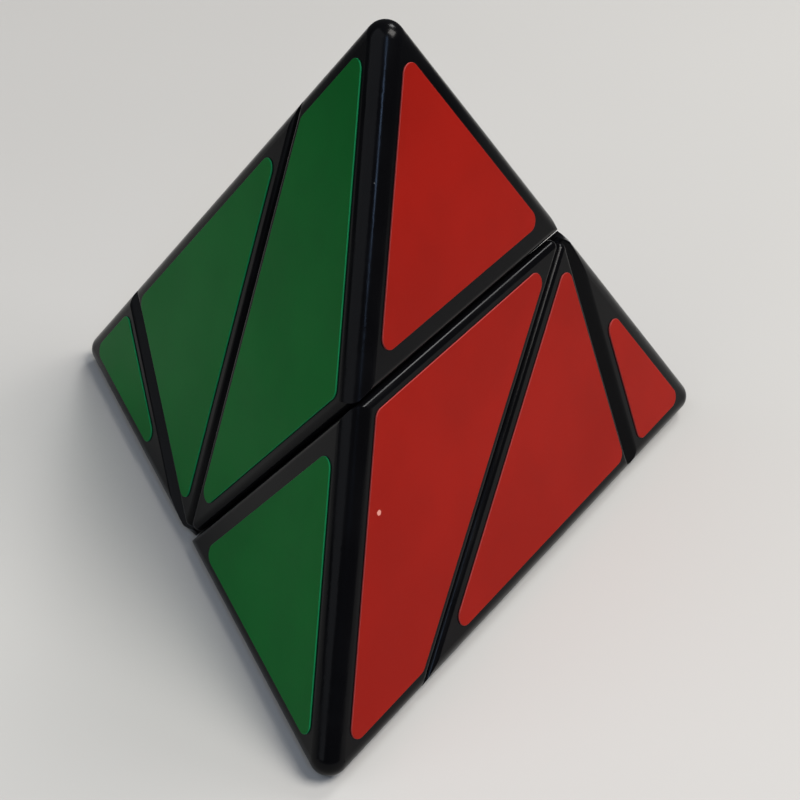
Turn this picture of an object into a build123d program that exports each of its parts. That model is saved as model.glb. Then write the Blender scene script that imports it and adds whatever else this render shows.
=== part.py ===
"""A pyramid twisty puzzle: six plastic wedges held on a hidden three-armed core.

The pyramid stands on one face. +Z is up, and the origin is the middle of that
face, on the surface it rests on. Three cuts, 60 degrees apart, all pass through
one line, the twin line, which joins the middles of two opposite edges. They part
the pyramid into six wedges, which are numbered around that line.
"""

from build123d import *
from math import cos, radians, sin, sqrt
import os

# Outside
EDGE = 98.0  # edge of the pyramid, between its sharp corners
EDGE_ROUND = 2.5  # rounding of the six outer edges
LIP_ROUND = 1.0  # rounding where a wedge's outside meets a cut
TIP_ROUND = 3.5  # rounding of the six tips that meet at each end of the twin line
SEAM_GAP = 0.1  # free space between two neighbouring wedges
STICKER_THICK = 0.2
STICKER_ROUND = 1.5  # corner radius of a sticker
STICKER_RIM = 0.08  # rounding of a sticker's cut rim
EDGE_MARGIN = 4.2  # bare plastic between a sticker and a sharp outer edge
MAIN_MARGIN = 2.7  # bare plastic between a sticker and each kind of seam
PLAIN_MARGIN = 1.9
SHARP_MARGIN = 3.2
BLUNT_MARGIN = 1.4

# Wedges
WEDGE_ANGLE = 60  # what each wedge takes up around the twin line
SHELL_WALL = 2.2
BODY_WALL = 1.8
SKIRT_WALL = 1.2  # the shell's skirt, which presses into the body's pocket
SKIRT_DEPTH = 1.5
SKIRT_PLAY = 0.1

# Turning mechanism, as distances from the turning centre
BALL_RADIUS = 6.6
POST_RADIUS = 3.5
POST_END = 10.4
FOOT_INNER = 7.2
FOOT_OUTER = 10.3
FOOT_HALF_LENGTH = 6.0
FOOT_PLAY = 0.2
CAP_INNER = 10.6
CAP_OUTER = 14.0
CAP_HALF_ANGLE = 44.5
CAVITY_RADIUS = 14.25
BOWL_RADIUS = 16.2  # outside of the round wall behind the cavity
STEM_START = 8.5
STEM_END = 15.5
STEM_WIDTH = 4.0
STEM_LENGTH = 8.0

# Screw stacks, from the core outwards
FLOOR_THICK = 2.0
SPOT_FACE_RADIUS = 4.0
SCREW_BORE_RADIUS = 1.7
COUNTERBORE_RADIUS = 3.75
BOSS_RADIUS = 5.5
BOSS_END = 21.0
PILOT_RADIUS = 1.5
PILOT_START = 4.6
SHANK_RADIUS = 1.45
SHANK_START = 5.0
HEAD_RADIUS = 3.0
HEAD_START = 17.6
HEAD_END = 19.8
HEAD_ROUND = 0.8
RECESS_WIDTH = 0.8
RECESS_LENGTH = 3.4
RECESS_DEPTH = 1.1
WASHER_INNER = 1.6
WASHER_OUTER = 3.2
WASHER_THICK = 0.6
SPRING_RADIUS = 2.6
SPRING_WIRE = 0.7
SPRING_TURNS = 4
SPRING_PLAY = 0.05

# Places that follow from the edge length
HEIGHT = EDGE * sqrt(2 / 3)
FACE_DISTANCE = HEIGHT / 4  # from the turning centre to each face
CORNER_RADIUS = EDGE / sqrt(3)  # from the middle of the base to its corners
FAR = EDGE  # past the outside in every direction
SLANT_CUT = (3 - sqrt(3)) / 6  # where a slanted cut crosses an edge, as a share of it

FRONT = Vector(0, -CORNER_RADIUS, STICKER_THICK)
RIGHT = Vector(EDGE / 2, CORNER_RADIUS / 2, STICKER_THICK)
LEFT = Vector(-EDGE / 2, CORNER_RADIUS / 2, STICKER_THICK)
APEX = Vector(0, 0, HEIGHT + STICKER_THICK)
CENTRE = Vector(0, 0, FACE_DISTANCE + STICKER_THICK)


def middle(first, second):
    """The point half way between two points."""
    return (first + second) / 2


# The twin line is square to this plane. Angles around it start at the middle of
# the front edge and grow towards the middle of the left edge.
TWIN_LINE = (middle(APEX, RIGHT) - CENTRE).normalized()
FRONT_WAY = (middle(APEX, FRONT) - CENTRE).normalized()
WEDGE_PLANE = Plane(origin=CENTRE, x_dir=FRONT_WAY, z_dir=-TWIN_LINE)
TWIN_PLANE = Plane(origin=CENTRE, x_dir=FRONT_WAY, z_dir=FRONT_WAY.cross(TWIN_LINE))

# How far the middle of a rounded outer edge is from the turning centre. The
# distance to a sharp edge is sqrt(3) times the distance to a face.
EDGE_TOP = sqrt(3) * (FACE_DISTANCE - EDGE_ROUND) + EDGE_ROUND

WEDGES = ["apex", "left_edge", "left_corner", "right_corner", "right_edge", "front_corner"]
SCREWED = ["left_edge", "right_corner", "front_corner"]


def mid_angle(wedge):
    """The angle around the twin line, in degrees, of the middle of a wedge."""
    return WEDGE_ANGLE * (WEDGES.index(wedge) + 1 / 2)


def wedge_way(wedge):
    """The direction from the turning centre through the middle of a wedge."""
    angle = radians(mid_angle(wedge))
    return WEDGE_PLANE.x_dir * cos(angle) + WEDGE_PLANE.y_dir * sin(angle)


def arm_plane(wedge, distance):
    """A plane square to a wedge's middle line, with its X along the twin line."""
    way = wedge_way(wedge)
    return Plane(origin=CENTRE + way * distance, x_dir=TWIN_LINE, z_dir=way)


def pyramid(face_distance):
    """A sharp pyramid around the turning centre."""
    size = face_distance / FACE_DISTANCE
    corners = [(corner - CENTRE) * size for corner in (FRONT, RIGHT, LEFT)]
    tip = CENTRE + (APEX - CENTRE) * size
    with BuildPart() as solid:
        with BuildSketch(Plane.XY.offset(CENTRE.Z - face_distance)) as base:
            with BuildLine():
                Polyline(*[(corner.X, corner.Y) for corner in corners], close=True)
            make_face()
        loft(sections=[base.sketch.face(), Vertex(tip.X, tip.Y, tip.Z)])
    return solid.part


def sixth(wedge, inset):
    """The sixth of space that holds a wedge, set back by inset from both cuts."""
    half_angle = radians(WEDGE_ANGLE / 2)
    middle_angle = radians(mid_angle(wedge))
    start = middle_angle - half_angle
    stop = middle_angle + half_angle
    tip = Vector(cos(middle_angle), sin(middle_angle)) * inset / sin(half_angle)
    reach = 2 * FAR
    with BuildPart() as space:
        with BuildSketch(WEDGE_PLANE):
            with BuildLine():
                Polyline(
                    tip,
                    tip + Vector(cos(start), sin(start)) * reach,
                    tip + Vector(cos(stop), sin(stop)) * reach,
                    close=True,
                )
            make_face()
        extrude(amount=reach, both=True)
    return space.part


def ball(radius):
    with BuildPart() as solid:
        with Locations(CENTRE):
            Sphere(radius)
    return solid.part


def tip_dimples():
    """What rounds the wedges' tips: a flared hollow around each end of the twin line."""
    with BuildPart() as hollows:
        with BuildSketch(TWIN_PLANE):
            with BuildLine():
                CenterArc((TIP_ROUND, EDGE_TOP - TIP_ROUND), TIP_ROUND, 90, 90)
                Polyline(
                    (0, EDGE_TOP - TIP_ROUND),
                    (0, EDGE_TOP + TIP_ROUND),
                    (TIP_ROUND, EDGE_TOP + TIP_ROUND),
                    (TIP_ROUND, EDGE_TOP),
                )
            make_face()
        revolve(axis=Axis(CENTRE, TWIN_LINE))
        mirror(about=WEDGE_PLANE)
    return hollows.part


def rounded_pyramid():
    with BuildPart() as solid:
        add(pyramid(FACE_DISTANCE))
        fillet(solid.edges(), EDGE_ROUND)
        add(tip_dimples(), mode=Mode.SUBTRACT)
    return solid.part


def wedge_form(wedge):
    """The whole outside of a wedge, with rounded lips along its cuts."""
    with BuildPart() as sharp:
        add(pyramid(FACE_DISTANCE - LIP_ROUND))
        add(sixth(wedge, SEAM_GAP / 2 + LIP_ROUND), mode=Mode.INTERSECT)
    with BuildPart() as form:
        add(sharp.part)
        offset(amount=LIP_ROUND, kind=Kind.ARC, mode=Mode.REPLACE)
        add(OUTSIDE, mode=Mode.INTERSECT)
    return form.part


def boss(wedge, radius):
    with BuildPart() as column:
        with BuildSketch(arm_plane(wedge, CAP_INNER + FLOOR_THICK)):
            Circle(radius)
        extrude(amount=BOSS_END - CAP_INNER - FLOOR_THICK)
    return column.part


def pocket(wedge):
    """The hollow of a wedge's body, open to the outside, under the shell."""
    with BuildPart() as hollow:
        add(sixth(wedge, SEAM_GAP / 2 + BODY_WALL))
        add(ball(BOWL_RADIUS), mode=Mode.SUBTRACT)
        if wedge in SCREWED:
            add(boss(wedge, BOSS_RADIUS), mode=Mode.SUBTRACT)
    return hollow.part


def skirt(wedge):
    """Ribs on the inside of the shell, which locate it in the body's pocket."""
    inset = SEAM_GAP / 2 + BODY_WALL + SKIRT_PLAY
    with BuildPart() as ribs:
        add(CORE_SPACE)
        add(sixth(wedge, inset), mode=Mode.INTERSECT)
        add(sixth(wedge, inset + SKIRT_WALL), mode=Mode.SUBTRACT)
        add(pyramid(FACE_DISTANCE - SHELL_WALL - SKIRT_DEPTH), mode=Mode.SUBTRACT)
        if wedge in SCREWED:
            add(boss(wedge, BOSS_RADIUS + SKIRT_PLAY), mode=Mode.SUBTRACT)
    return ribs.part


def cap(wedge):
    """The round flange of a screwed wedge, which holds its neighbours' feet down."""
    way = wedge_way(wedge)
    side_plane = Plane(origin=CENTRE, x_dir=way, z_dir=TWIN_LINE)
    rim = radians(CAP_HALF_ANGLE)
    rim_way = Vector(cos(rim), sin(rim))
    with BuildPart() as flange:
        with BuildSketch(side_plane):
            with BuildLine():
                Line((CAP_INNER, 0), (CAP_OUTER, 0))
                CenterArc((0, 0), CAP_OUTER, 0, CAP_HALF_ANGLE)
                Line(rim_way * CAP_OUTER, rim_way * CAP_INNER)
                CenterArc((0, 0), CAP_INNER, CAP_HALF_ANGLE, -CAP_HALF_ANGLE)
            make_face()
        revolve(axis=Axis(CENTRE, way))
    return flange.part


def screwed_body(wedge):
    """The inner half of a wedge that is held on a core post by a screw."""
    floor_top = CAP_INNER + FLOOR_THICK
    with BuildPart() as body:
        add(wedge_form(wedge))
        add(ball(CAVITY_RADIUS), mode=Mode.SUBTRACT)
        add(pocket(wedge), mode=Mode.SUBTRACT)
        add(cap(wedge))
        add(boss(wedge, BOSS_RADIUS))
        add(CORE_SPACE, mode=Mode.INTERSECT)
        with BuildSketch(arm_plane(wedge, 0)):
            Circle(SPOT_FACE_RADIUS)
        extrude(amount=CAP_INNER, mode=Mode.SUBTRACT)
        with BuildSketch(arm_plane(wedge, 0)):
            Circle(SCREW_BORE_RADIUS)
        extrude(amount=floor_top, mode=Mode.SUBTRACT)
        with BuildSketch(arm_plane(wedge, floor_top)):
            Circle(COUNTERBORE_RADIUS)
        extrude(amount=FAR, mode=Mode.SUBTRACT)
    return body.part


def foot(wedge):
    """The hook of a floating wedge, which runs under its neighbours' caps."""
    with BuildPart() as hook:
        add(ball(FOOT_OUTER))
        add(ball(FOOT_INNER), mode=Mode.SUBTRACT)
        add(sixth(wedge, FOOT_PLAY), mode=Mode.INTERSECT)
        with BuildSketch(WEDGE_PLANE):
            Circle(FAR)
        extrude(amount=FOOT_HALF_LENGTH, both=True, mode=Mode.INTERSECT)
        with BuildSketch(arm_plane(wedge, STEM_START)):
            Rectangle(STEM_LENGTH, STEM_WIDTH)
        extrude(amount=STEM_END - STEM_START)
    return hook.part


def floating_body(wedge):
    """The inner half of a wedge that is held only by its neighbours."""
    with BuildPart() as body:
        add(wedge_form(wedge))
        add(ball(CAVITY_RADIUS), mode=Mode.SUBTRACT)
        add(pocket(wedge), mode=Mode.SUBTRACT)
        add(CORE_SPACE, mode=Mode.INTERSECT)
        add(foot(wedge))
    return body.part


def outer_shell(wedge):
    """The outer half of a wedge: the plastic that carries the stickers."""
    with BuildPart() as shell:
        add(wedge_form(wedge))
        add(CORE_SPACE, mode=Mode.SUBTRACT)
        add(skirt(wedge))
    return shell.part


def inset_outline(corners, margins):
    """An outline's corners after each of its sides moves inwards by its own margin.

    The corners run counterclockwise, and side n starts at corner n.
    """
    count = len(corners)
    ways = [(corners[(n + 1) % count] - corners[n]).normalized() for n in range(count)]
    inwards = [Vector(-way.Y, way.X) for way in ways]
    moved = []
    for n in range(count):
        before, after = inwards[n - 1], inwards[n]
        turn = before.X * after.Y - before.Y * after.X
        shift_x = (margins[n - 1] * after.Y - margins[n] * before.Y) / turn
        shift_y = (margins[n] * before.X - margins[n - 1] * after.X) / turn
        moved.append(corners[n] + Vector(shift_x, shift_y))
    return moved


def sticker(plane, corners, margins):
    outline = inset_outline([plane.to_local_coords(corner) for corner in corners], margins)
    with BuildPart() as label:
        with BuildSketch(plane):
            with BuildLine():
                Polyline(*outline, close=True)
            flat = make_face()
            fillet(flat.vertices(), STICKER_ROUND)
        extrude(amount=STICKER_THICK)
        top = label.faces().sort_by(Axis(plane.origin, plane.z_dir))[-1]
        fillet(top.edges(), STICKER_RIM)
    return label.part


def save(part, name):
    part.label = name
    export_step(part, f"parts/{name}.step")


os.makedirs("parts", exist_ok=True)

OUTSIDE = rounded_pyramid()
CORE_SPACE = pyramid(FACE_DISTANCE - SHELL_WALL)

# Wedges
for wedge in WEDGES:
    save(outer_shell(wedge), f"{wedge}_shell")
    if wedge in SCREWED:
        save(screwed_body(wedge), f"{wedge}_body")
    else:
        save(floating_body(wedge), f"{wedge}_body")

# Stickers. Every face is cut in the same way: a four-sided field at its first
# corner, a slim field on the cut's far side at its second, a field with no corner,
# and a short field at its third. The main seam runs from the middle of the first
# and second corners' edge, and every seam ends in the middle of the other two's.
FACES = {
    "green": (APEX, FRONT, LEFT, ["apex", "front_corner", "left_edge", "left_corner"]),
    "red": (FRONT, APEX, RIGHT, ["front_corner", "apex", "right_edge", "right_corner"]),
    "blue": (LEFT, RIGHT, APEX, ["left_corner", "right_corner", "left_edge", "apex"]),
    "yellow": (RIGHT, LEFT, FRONT, ["right_corner", "left_corner", "right_edge", "front_corner"]),
}
for colour, (first, second, third, owners) in FACES.items():
    plane = Plane(origin=first, x_dir=third - first, z_dir=(third - first).cross(second - first))
    seams_end = middle(second, third)
    main_start = middle(first, second)
    near_cut = first + (third - first) * SLANT_CUT
    far_cut = third + (first - third) * SLANT_CUT
    fields = [
        (
            [first, near_cut, seams_end, main_start],
            [EDGE_MARGIN, PLAIN_MARGIN, MAIN_MARGIN, EDGE_MARGIN],
        ),
        ([main_start, seams_end, second], [MAIN_MARGIN, EDGE_MARGIN, EDGE_MARGIN]),
        ([near_cut, far_cut, seams_end], [EDGE_MARGIN, SHARP_MARGIN, PLAIN_MARGIN]),
        ([far_cut, third, seams_end], [EDGE_MARGIN, EDGE_MARGIN, BLUNT_MARGIN]),
    ]
    for owner, (corners, margins) in zip(owners, fields):
        save(sticker(plane, corners, margins), f"{owner}_{colour}_sticker")

# Core: a ball with one post for each screwed wedge
with BuildPart() as core:
    with Locations(CENTRE):
        Sphere(BALL_RADIUS)
    for wedge in SCREWED:
        with BuildSketch(arm_plane(wedge, 0)):
            Circle(POST_RADIUS)
        extrude(amount=POST_END)
    for wedge in SCREWED:
        with BuildSketch(arm_plane(wedge, PILOT_START)):
            Circle(PILOT_RADIUS)
        extrude(amount=POST_END - PILOT_START, mode=Mode.SUBTRACT)
save(core.part, "core")

# Screw, washer and spring on each post
for wedge in SCREWED:
    with BuildPart() as screw:
        with BuildSketch(arm_plane(wedge, SHANK_START)):
            Circle(SHANK_RADIUS)
        extrude(amount=HEAD_START - SHANK_START)
        with BuildSketch(arm_plane(wedge, HEAD_START)):
            Circle(HEAD_RADIUS)
        extrude(amount=HEAD_END - HEAD_START)
        top = screw.faces().sort_by(Axis(CENTRE, wedge_way(wedge)))[-1]
        fillet(top.edges(), HEAD_ROUND)
        with BuildSketch(arm_plane(wedge, HEAD_END - RECESS_DEPTH)):
            Rectangle(RECESS_LENGTH, RECESS_WIDTH)
            Rectangle(RECESS_WIDTH, RECESS_LENGTH)
        extrude(amount=RECESS_DEPTH, mode=Mode.SUBTRACT)
    save(screw.part, f"{wedge}_screw")

    with BuildPart() as washer:
        with BuildSketch(arm_plane(wedge, HEAD_START - WASHER_THICK)):
            Circle(WASHER_OUTER)
            Circle(WASHER_INNER, mode=Mode.SUBTRACT)
        extrude(amount=WASHER_THICK)
    save(washer.part, f"{wedge}_washer")

    coil_start = CAP_INNER + FLOOR_THICK + SPRING_PLAY + SPRING_WIRE / 2
    coil_end = HEAD_START - WASHER_THICK - SPRING_PLAY - SPRING_WIRE / 2
    coil_height = coil_end - coil_start
    with BuildPart() as spring:
        with BuildLine() as coil:
            Helix(
                pitch=coil_height / SPRING_TURNS,
                height=coil_height,
                radius=SPRING_RADIUS,
                center=CENTRE + wedge_way(wedge) * coil_start,
                direction=wedge_way(wedge),
            )
        with BuildSketch(Plane(origin=coil.line @ 0, z_dir=coil.line % 0)):
            Circle(SPRING_WIRE / 2)
        sweep(path=coil.line, is_frenet=True)
    save(spring.part, f"{wedge}_spring")
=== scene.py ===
"""The looks of a pyramid twisty puzzle: glossy black plastic, vinyl stickers, pale studio.

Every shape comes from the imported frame, and every node gets a procedural material.
All lengths are in metres. Colours are linear.
"""

import math

import bpy
from mathutils import Matrix, Vector


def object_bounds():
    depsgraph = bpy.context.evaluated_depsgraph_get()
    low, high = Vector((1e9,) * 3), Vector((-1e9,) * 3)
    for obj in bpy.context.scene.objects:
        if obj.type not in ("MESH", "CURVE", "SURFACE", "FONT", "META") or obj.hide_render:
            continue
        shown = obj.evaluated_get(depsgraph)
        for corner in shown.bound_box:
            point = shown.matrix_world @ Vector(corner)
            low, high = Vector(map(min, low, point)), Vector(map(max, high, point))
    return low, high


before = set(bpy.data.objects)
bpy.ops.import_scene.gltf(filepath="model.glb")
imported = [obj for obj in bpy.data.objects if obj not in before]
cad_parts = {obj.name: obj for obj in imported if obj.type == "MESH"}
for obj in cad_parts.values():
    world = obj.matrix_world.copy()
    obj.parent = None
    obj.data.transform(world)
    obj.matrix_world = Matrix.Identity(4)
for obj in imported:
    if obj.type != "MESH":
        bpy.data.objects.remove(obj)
cad_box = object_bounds()

MM = 0.001

# Camera, in the frame's coordinates
CAMERA_PLACE = Vector((0.01524, -0.19195, 0.17856))
CAMERA_AIM = Vector((0.00354, 0.00200, 0.01645))
CAMERA_ROLL = math.radians(2.6)
CAMERA_LENS = 82.7
CAMERA_SENSOR = 36.0
CAMERA_NEAR = 0.01

# Lamps: the place, the point it faces, its two sides, its power and its colour
LAMPS = {
    "key": ((0.50, -0.09, 0.84), (0, 0, 0.03), (0.50, 0.50), 8.5, (1.0, 0.97, 0.93)),
    "fill": ((-0.80, -0.55, 0.80), (0, 0, 0.03), (1.60, 1.60), 6.5, (0.90, 0.94, 1.0)),
    "window": ((0.23, -0.68, 0.73), (0, 0, 0.04), (0.10, 0.40), 1.2, (0.45, 0.65, 1.0)),
    "back": ((0.36, 0.60, 0.85), (0, 0, 0.04), (0.30, 0.30), 3.0, (1.0, 1.0, 1.0)),
}
ROOM = (0.78, 0.80, 0.84)
ROOM_STRENGTH = 0.12
BACKDROP = (0.56, 0.555, 0.54)

# Floor
FLOOR_HALF = 3.0
FLOOR_DROP = 0.05 * MM  # keeps the floor clear of the base stickers
FLOOR_FADE_START = 0.16
FLOOR_FADE_END = 0.50
FLOOR_DARK = (0.46, 0.45, 0.43)
FLOOR_PALE = (0.52, 0.51, 0.49)
FLOOR_CLOUD = 0.25
FLOOR_ROUGHNESS = (0.60, 0.72)

# Shares of a noise or a mask, which runs from 0 to 1, where something starts and is full
MIDDLE = (0.3, 0.7)
SMUDGED = (0.42, 0.68)
WIPED = (0.40, 0.70)

# Dust, on plastic and on vinyl: the spacing and radius of its specks, and the share
# of places that has one
DUST = (0.45, 0.44, 0.42)
PLASTIC_DUST = (2.8 * MM, 0.08 * MM, 0.08)
PLASTIC_DUST_TINT = 0.4
VINYL_DUST = (3.4 * MM, 0.09 * MM, 0.05)
VINYL_DUST_TINT = 0.6
DUST_ROUGHNESS = 0.4
SPECK_CORE = 0.6  # the full part of a speck, as a share of its radius

# Black plastic. Each kind has a roughness and what smudges add to it.
BLACK = (0.0028, 0.0028, 0.0034)
BLACK_LIGHTER = 1.8
BLACK_WORN = (0.012, 0.012, 0.014)
SHELL_GLOSS = (0.13, 0.10)
INNER_GLOSS = (0.30, 0.12)
CORE_GLOSS = (0.36, 0.08)
PLASTIC_CLOUD = 9 * MM
SMUDGE = 16 * MM
SMUDGE_STRETCH = (1, 2.2, 1)
SMUDGE_TINT = 0.10
RUB = 0.5 * MM
RUB_STRETCH = (1, 5, 1)
RUB_ROUGHNESS = 0.06
PLASTIC_PEEL = 3.0 * MM
PLASTIC_PEEL_HEIGHT = 0.004 * MM
PLASTIC_PEEL_STRENGTH = 0.3
PLASTIC_IOR = 1.50
PLASTIC_SPECULAR = 0.15

# Vinyl: the print of each colour, and a paler colour painted on its cut rim as a highlight where
# the edge catches light
STICKERS = {
    "green": ((0.002, 0.142, 0.023), (0.018, 0.250, 0.098)),
    "red": ((0.300, 0.013, 0.007), (0.370, 0.066, 0.062)),
    "blue": ((0.006, 0.040, 0.260), (0.040, 0.120, 0.420)),
    "yellow": ((0.620, 0.400, 0.012), (0.760, 0.580, 0.110)),
}
VINYL_CLOUD = 14 * MM
VINYL_DARKER = 0.88
GRAIN = 0.30 * MM
GRAIN_TINT = 0.06
GRAIN_ROUGHNESS = 0.06
# Where the painted highlight on a sticker's cut rim starts and is full
RIM_HIGHLIGHT_START = 0.985  # the cosine of the turn away from the sticker's own way
RIM_HIGHLIGHT_FULL = 0.80
VINYL_ROUGHNESS = 0.27
WIPE = 18 * MM
WIPE_ROUGHNESS = 0.08
VINYL_PEEL = 0.9 * MM
VINYL_PEEL_HEIGHT = 0.010 * MM
VINYL_PEEL_STRENGTH = 0.4
VINYL_WAVE = 14 * MM
VINYL_WAVE_HEIGHT = 0.05 * MM
VINYL_WAVE_STRENGTH = 0.3
VINYL_IOR = 1.46
VINYL_SPECULAR = 0.10

# One small chip in the print, on the front corner's red sticker
CHIP = (0.66, 0.30, 0.25)
CHIP_NODE = "front_corner_red_sticker"
CHIP_PLACE = Vector((3.68, -31.80, 26.84)) * MM
CHIP_RADIUS = 0.43 * MM
CHIP_START = 1.25  # as shares of the radius
CHIP_FULL = 0.95
CHIP_RAGGED = 0.5
CHIP_GRAIN = 0.25 * MM

# Plated steel
STEEL = (0.52, 0.52, 0.53)
STEEL_DARK = (0.30, 0.30, 0.31)
STEEL_DARKER = 0.7
STEEL_CLOUD = 1.5 * MM
STEEL_MARKS = 0.25 * MM
STEEL_STRETCH = (1, 1, 6)
STEEL_ROUGHNESS = (0.22, 0.42)
STEEL_MARK_HEIGHT = 0.01 * MM
STEEL_MARK_STRENGTH = 0.4


class Surface:
    """A material's node tree, with a short call for each kind of node it uses."""

    def __init__(self, name):
        self.material = bpy.data.materials.new(name)
        self.material.use_nodes = True
        self.tree = self.material.node_tree
        self.shader = self.tree.nodes["Principled BSDF"]
        self.place = self.node("ShaderNodeTexCoord").outputs["Object"]

    def node(self, kind, **settings):
        made = self.tree.nodes.new(kind)
        for key, value in settings.items():
            setattr(made, key, value)
        return made

    def feed(self, socket, value):
        """Links an output to an input, or sets the input to a colour or a number."""
        if isinstance(value, bpy.types.NodeSocket):
            self.tree.links.new(value, socket)
        elif hasattr(value, "__len__") and socket.type == "RGBA":
            socket.default_value = (*value, 1.0)
        else:
            socket.default_value = value

    def set(self, **inputs):
        """Feeds the shader's inputs, named with _ for each space."""
        for key, value in inputs.items():
            self.feed(self.shader.inputs[key.replace("_", " ")], value)

    def math(self, operation, first, second, clamp=False):
        made = self.node("ShaderNodeMath", operation=operation, use_clamp=clamp)
        self.feed(made.inputs[0], first)
        self.feed(made.inputs[1], second)
        return made.outputs[0]

    def measure(self, operation, first, second=(0, 0, 0)):
        """A number worked out from one or two vectors."""
        made = self.node("ShaderNodeVectorMath", operation=operation)
        self.feed(made.inputs[0], first)
        self.feed(made.inputs[1], second)
        return made.outputs["Value"]

    def noise(self, size, detail=3.0, stretch=(1, 1, 1)):
        """Noise from 0 to 1 whose features are about size metres across."""
        scale = self.node("ShaderNodeMapping")
        self.feed(scale.inputs["Vector"], self.place)
        scale.inputs["Scale"].default_value = [way / size for way in stretch]
        made = self.node("ShaderNodeTexNoise")
        self.feed(made.inputs["Vector"], scale.outputs[0])
        made.inputs["Scale"].default_value = 1.0
        made.inputs["Detail"].default_value = detail
        return made.outputs["Fac"]

    def between(self, value, low, high, start=0.0, stop=1.0):
        """Maps value smoothly from low..high to start..stop, and holds it there."""
        made = self.node("ShaderNodeMapRange", interpolation_type="SMOOTHSTEP")
        self.feed(made.inputs["Value"], value)
        made.inputs["From Min"].default_value = low
        made.inputs["From Max"].default_value = high
        made.inputs["To Min"].default_value = start
        made.inputs["To Max"].default_value = stop
        return made.outputs["Result"]

    def mix(self, share, first, second):
        made = self.node("ShaderNodeMix", data_type="RGBA")
        self.feed(made.inputs["Factor"], share)
        self.feed(made.inputs[6], first)
        self.feed(made.inputs[7], second)
        return made.outputs[2]

    def tint(self, mask, strength, shade, over):
        """Lays a colour over a shade, at the mask's share of a strength."""
        return self.mix(self.math("MULTIPLY", mask, strength), shade, over)

    def rougher(self, rough, mask, amount, clamp=False):
        return self.math("ADD", rough, self.math("MULTIPLY", mask, amount), clamp)

    def bump(self, height, distance, strength, normal=None):
        made = self.node("ShaderNodeBump")
        self.feed(made.inputs["Height"], height)
        made.inputs["Distance"].default_value = distance
        made.inputs["Strength"].default_value = strength
        if normal is not None:
            self.feed(made.inputs["Normal"], normal)
        return made.outputs["Normal"]

    def specks(self, cell, radius, share):
        """Small round specks: 1 inside a speck, on a share of the cells."""
        made = self.node("ShaderNodeTexVoronoi", feature="F1")
        self.feed(made.inputs["Vector"], self.place)
        made.inputs["Scale"].default_value = 1.0 / cell
        near = self.between(made.outputs["Distance"], radius / cell, SPECK_CORE * radius / cell)
        parts = self.node("ShaderNodeSeparateColor")
        self.feed(parts.inputs["Color"], made.outputs["Color"])
        chosen = self.math("LESS_THAN", parts.outputs[0], share)
        return self.math("MULTIPLY", near, chosen)


def scaled(colour, factor):
    return [part * factor for part in colour]


def black_plastic(name, roughness, smudge):
    """Moulded black plastic: a slight orange peel, smudges where fingers hold it, a little dust."""
    surface = Surface(name)
    cloud = surface.noise(PLASTIC_CLOUD, detail=4.0)
    wipe = surface.between(surface.noise(SMUDGE, stretch=SMUDGE_STRETCH), *SMUDGED)
    rub = surface.noise(RUB, stretch=RUB_STRETCH)
    dust = surface.specks(*PLASTIC_DUST)
    colour = surface.mix(cloud, BLACK, scaled(BLACK, BLACK_LIGHTER))
    colour = surface.tint(wipe, SMUDGE_TINT, colour, BLACK_WORN)
    colour = surface.tint(dust, PLASTIC_DUST_TINT, colour, DUST)
    rough = surface.rougher(roughness, wipe, smudge)
    rough = surface.rougher(rough, rub, RUB_ROUGHNESS)
    rough = surface.rougher(rough, dust, DUST_ROUGHNESS, clamp=True)
    peel = surface.noise(PLASTIC_PEEL, detail=1.0)
    surface.set(Base_Color=colour, Roughness=rough)
    surface.set(Normal=surface.bump(peel, PLASTIC_PEEL_HEIGHT, PLASTIC_PEEL_STRENGTH))
    surface.set(IOR=PLASTIC_IOR, Specular_IOR_Level=PLASTIC_SPECULAR)
    return surface.material


def face_way(node):
    """The outward way of a flat node's largest side, away from the puzzle's middle."""
    centre = sum(cad_box, Vector()) / 2
    largest = max(node.data.polygons, key=lambda polygon: polygon.area)
    way = largest.normal.copy()
    if way.dot(largest.center - centre) < 0:
        way.negate()
    return way


def rim_highlight_mask(surface, way):
    """1 on a sticker's rounded cut rim, which turns away from the sticker's own way: where a
    highlight is painted.
    """
    normal = surface.node("ShaderNodeNewGeometry").outputs["True Normal"]
    turned = surface.node("ShaderNodeVectorTransform", vector_type="NORMAL")
    turned.convert_from = "WORLD"
    turned.convert_to = "OBJECT"
    surface.feed(turned.inputs[0], normal)
    facing = surface.measure("DOT_PRODUCT", turned.outputs[0], way)
    return surface.between(facing, RIM_HIGHLIGHT_START, RIM_HIGHLIGHT_FULL)


def chip_mask(surface):
    """A ragged spot around the chip's place."""
    gap = surface.measure("DISTANCE", surface.place, CHIP_PLACE)
    ragged = surface.noise(CHIP_GRAIN, detail=2.0)
    reach = surface.math("ADD", gap, surface.math("MULTIPLY", ragged, CHIP_RAGGED * CHIP_RADIUS))
    return surface.between(reach, CHIP_START * CHIP_RADIUS, CHIP_FULL * CHIP_RADIUS)


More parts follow.
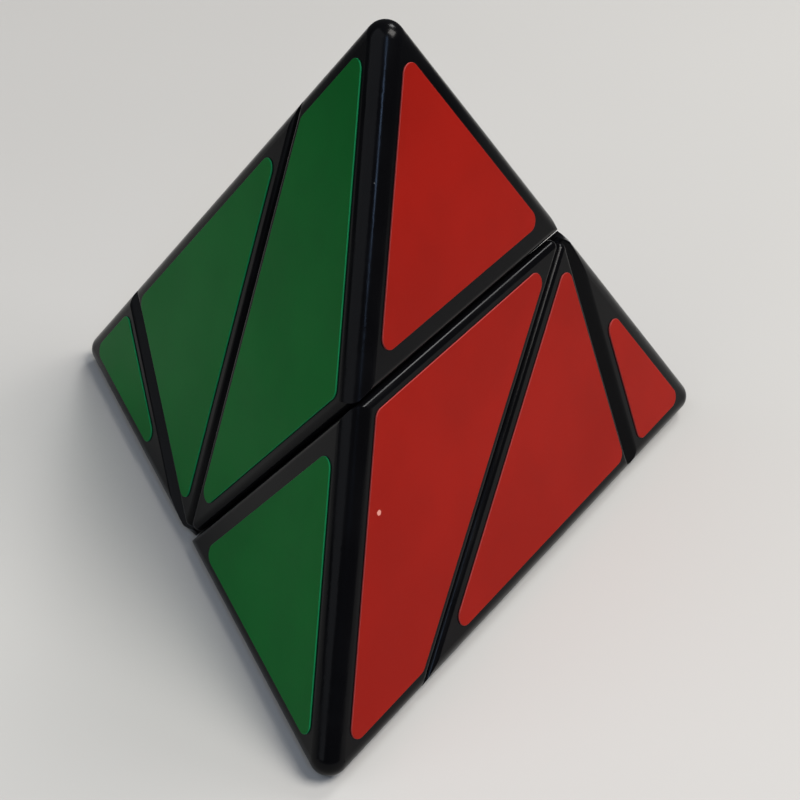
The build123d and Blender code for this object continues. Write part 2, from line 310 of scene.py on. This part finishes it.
def vinyl(name, colour, rim_highlight_colour, way, chipped):
    """Printed vinyl: an even colour with a fine grain, a paler cut rim painted as a highlight, and
    a soft gloss.
    """
    surface = Surface(name)
    cloud = surface.between(surface.noise(VINYL_CLOUD), *MIDDLE)
    grain = surface.noise(GRAIN, detail=2.0)
    dust = surface.specks(*VINYL_DUST)
    shade = surface.mix(cloud, colour, scaled(colour, VINYL_DARKER))
    shade = surface.tint(grain, GRAIN_TINT, shade, rim_highlight_colour)
    # paints a highlight on the cut rim, where the edge catches light
    shade = surface.mix(rim_highlight_mask(surface, way), shade, rim_highlight_colour)
    shade = surface.tint(dust, VINYL_DUST_TINT, shade, DUST)
    if chipped:
        shade = surface.mix(chip_mask(surface), shade, CHIP)
    wipe = surface.between(surface.noise(WIPE), *WIPED)
    rough = surface.rougher(VINYL_ROUGHNESS, wipe, WIPE_ROUGHNESS)
    rough = surface.rougher(rough, grain, GRAIN_ROUGHNESS)
    rough = surface.rougher(rough, dust, DUST_ROUGHNESS, clamp=True)
    peel = surface.noise(VINYL_PEEL, detail=2.0)
    peeled = surface.bump(peel, VINYL_PEEL_HEIGHT, VINYL_PEEL_STRENGTH)
    wave = surface.noise(VINYL_WAVE, detail=1.0)
    waved = surface.bump(wave, VINYL_WAVE_HEIGHT, VINYL_WAVE_STRENGTH, peeled)
    surface.set(Base_Color=shade, Roughness=rough, Normal=waved)
    surface.set(IOR=VINYL_IOR, Specular_IOR_Level=VINYL_SPECULAR)
    return surface.material


def plated_steel(name, colour):
    """Zinc-plated steel: cloudy grey with fine turned marks."""
    surface = Surface(name)
    cloud = surface.noise(STEEL_CLOUD, detail=4.0)
    marks = surface.noise(STEEL_MARKS, detail=2.0, stretch=STEEL_STRETCH)
    shade = surface.mix(cloud, colour, scaled(colour, STEEL_DARKER))
    rough = surface.between(marks, *MIDDLE, *STEEL_ROUGHNESS)
    surface.set(Base_Color=shade, Roughness=rough, Metallic=1.0)
    surface.set(Normal=surface.bump(marks, STEEL_MARK_HEIGHT, STEEL_MARK_STRENGTH))
    return surface.material


def dress(node, material):
    node.data.materials.clear()
    node.data.materials.append(material)


def dress_puzzle():
    shell = black_plastic("shell_plastic", *SHELL_GLOSS)
    inner = black_plastic("inner_plastic", *INNER_GLOSS)
    core = black_plastic("core_plastic", *CORE_GLOSS)
    screw = plated_steel("screw_steel", STEEL)
    spring = plated_steel("spring_steel", STEEL_DARK)
    for name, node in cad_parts.items():
        if name.endswith("_shell"):
            dress(node, shell)
        elif name.endswith("_body"):
            dress(node, inner)
        elif name == "core":
            dress(node, core)
        elif name.endswith("_spring"):
            dress(node, spring)
        elif name.endswith("_sticker"):
            print_colour, rim_highlight_colour = STICKERS[name.split("_")[-2]]
            chipped = name == CHIP_NODE
            dress(node, vinyl(name + "_vinyl", print_colour, rim_highlight_colour, face_way(node), chipped))
        else:
            dress(node, screw)


def pale_floor():
    """A pale floor that fades out, away from the puzzle, into the backdrop."""
    mesh = bpy.data.meshes.new("floor")
    half, low = FLOOR_HALF, -FLOOR_DROP
    corners = [(-half, -half, low), (half, -half, low), (half, half, low), (-half, half, low)]
    mesh.from_pydata(corners, [], [(0, 1, 2, 3)])
    floor = bpy.data.objects.new("floor", mesh)
    bpy.context.scene.collection.objects.link(floor)
    surface = Surface("floor_paint")
    cloud = surface.noise(FLOOR_CLOUD)
    surface.set(Base_Color=surface.mix(cloud, FLOOR_DARK, FLOOR_PALE))
    surface.set(Roughness=surface.between(cloud, *MIDDLE, *FLOOR_ROUGHNESS))
    away = surface.measure("LENGTH", surface.place)
    fade = surface.between(away, FLOOR_FADE_START, FLOOR_FADE_END)
    surface.set(Alpha=surface.math("SUBTRACT", 1.0, fade))
    floor.data.materials.append(surface.material)


def soft_light(name, place, aim, size, power, colour):
    lamp = bpy.data.lights.new(name, "AREA")
    lamp.shape = "RECTANGLE"
    lamp.size, lamp.size_y = size
    lamp.energy = power
    lamp.color = colour
    holder = bpy.data.objects.new(name, lamp)
    bpy.context.scene.collection.objects.link(holder)
    holder.location = place
    holder.rotation_euler = (Vector(aim) - Vector(place)).to_track_quat("-Z", "Y").to_euler()


def studio():
    """Soft lamps in a dim cool room, which the camera sees as a pale backdrop."""
    world = bpy.data.worlds.new("studio")
    bpy.context.scene.world = world
    world.use_nodes = True
    tree = world.node_tree
    room = tree.nodes["Background"]
    room.inputs["Color"].default_value = (*ROOM, 1)
    room.inputs["Strength"].default_value = ROOM_STRENGTH
    backdrop = tree.nodes.new("ShaderNodeBackground")
    backdrop.inputs["Color"].default_value = (*BACKDROP, 1)
    path = tree.nodes.new("ShaderNodeLightPath")
    choice = tree.nodes.new("ShaderNodeMixShader")
    tree.links.new(path.outputs["Is Camera Ray"], choice.inputs[0])
    tree.links.new(room.outputs[0], choice.inputs[1])
    tree.links.new(backdrop.outputs[0], choice.inputs[2])
    tree.links.new(choice.outputs[0], tree.nodes["World Output"].inputs["Surface"])
    for name, (place, aim, size, power, colour) in LAMPS.items():
        soft_light(name, place, aim, size, power, colour)


def camera():
    lens = bpy.data.cameras.new("camera")
    lens.sensor_width = CAMERA_SENSOR
    lens.lens = CAMERA_LENS
    lens.clip_start = CAMERA_NEAR
    holder = bpy.data.objects.new("camera", lens)
    bpy.context.scene.collection.objects.link(holder)
    way = CAMERA_AIM - CAMERA_PLACE
    turn = way.to_track_quat("-Z", "Y").to_matrix() @ Matrix.Rotation(CAMERA_ROLL, 3, "Z")
    holder.matrix_world = Matrix.Translation(CAMERA_PLACE) @ turn.to_4x4()
    bpy.context.scene.camera = holder


dress_puzzle()
pale_floor()
studio()
camera()
bpy.context.scene.view_settings.view_transform = "Standard"
bpy.context.scene.view_settings.look = "Medium High Contrast"
